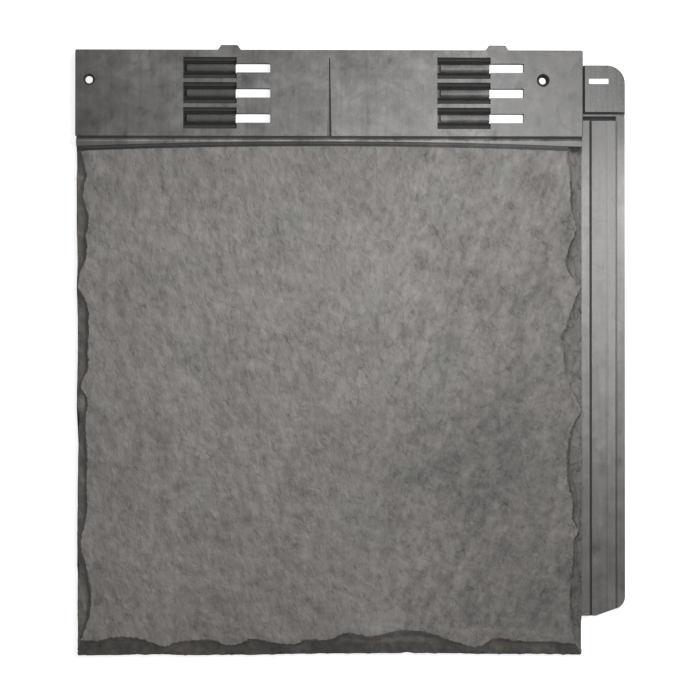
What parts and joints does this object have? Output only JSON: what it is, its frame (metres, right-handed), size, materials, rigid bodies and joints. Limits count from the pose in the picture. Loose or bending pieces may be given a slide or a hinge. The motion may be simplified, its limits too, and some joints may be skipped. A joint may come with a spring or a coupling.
{
  "type": "slate-effect roof tile",
  "caption": "Moulded slate-effect roof tile with a riven face and chipped edges, a fixing strip with hook pockets and slots at the head, and a low side lock with a slotted fixing tab.",
  "frame": {"origin": "middle of the plan outline, on the plane that the tile lies on", "axes": "+X across the tile towards the side lock, +Y up the roof slope towards the fixing strip, +Z out of the slate face"},
  "size_m": [0.438, 0.4858, 0.013],
  "materials": {
    "slate_effect_plastic": "matte"
  },
  "bodies": {
    "root": {"roof_tile": "slate_effect_plastic"}
  },
  "joints": []
}
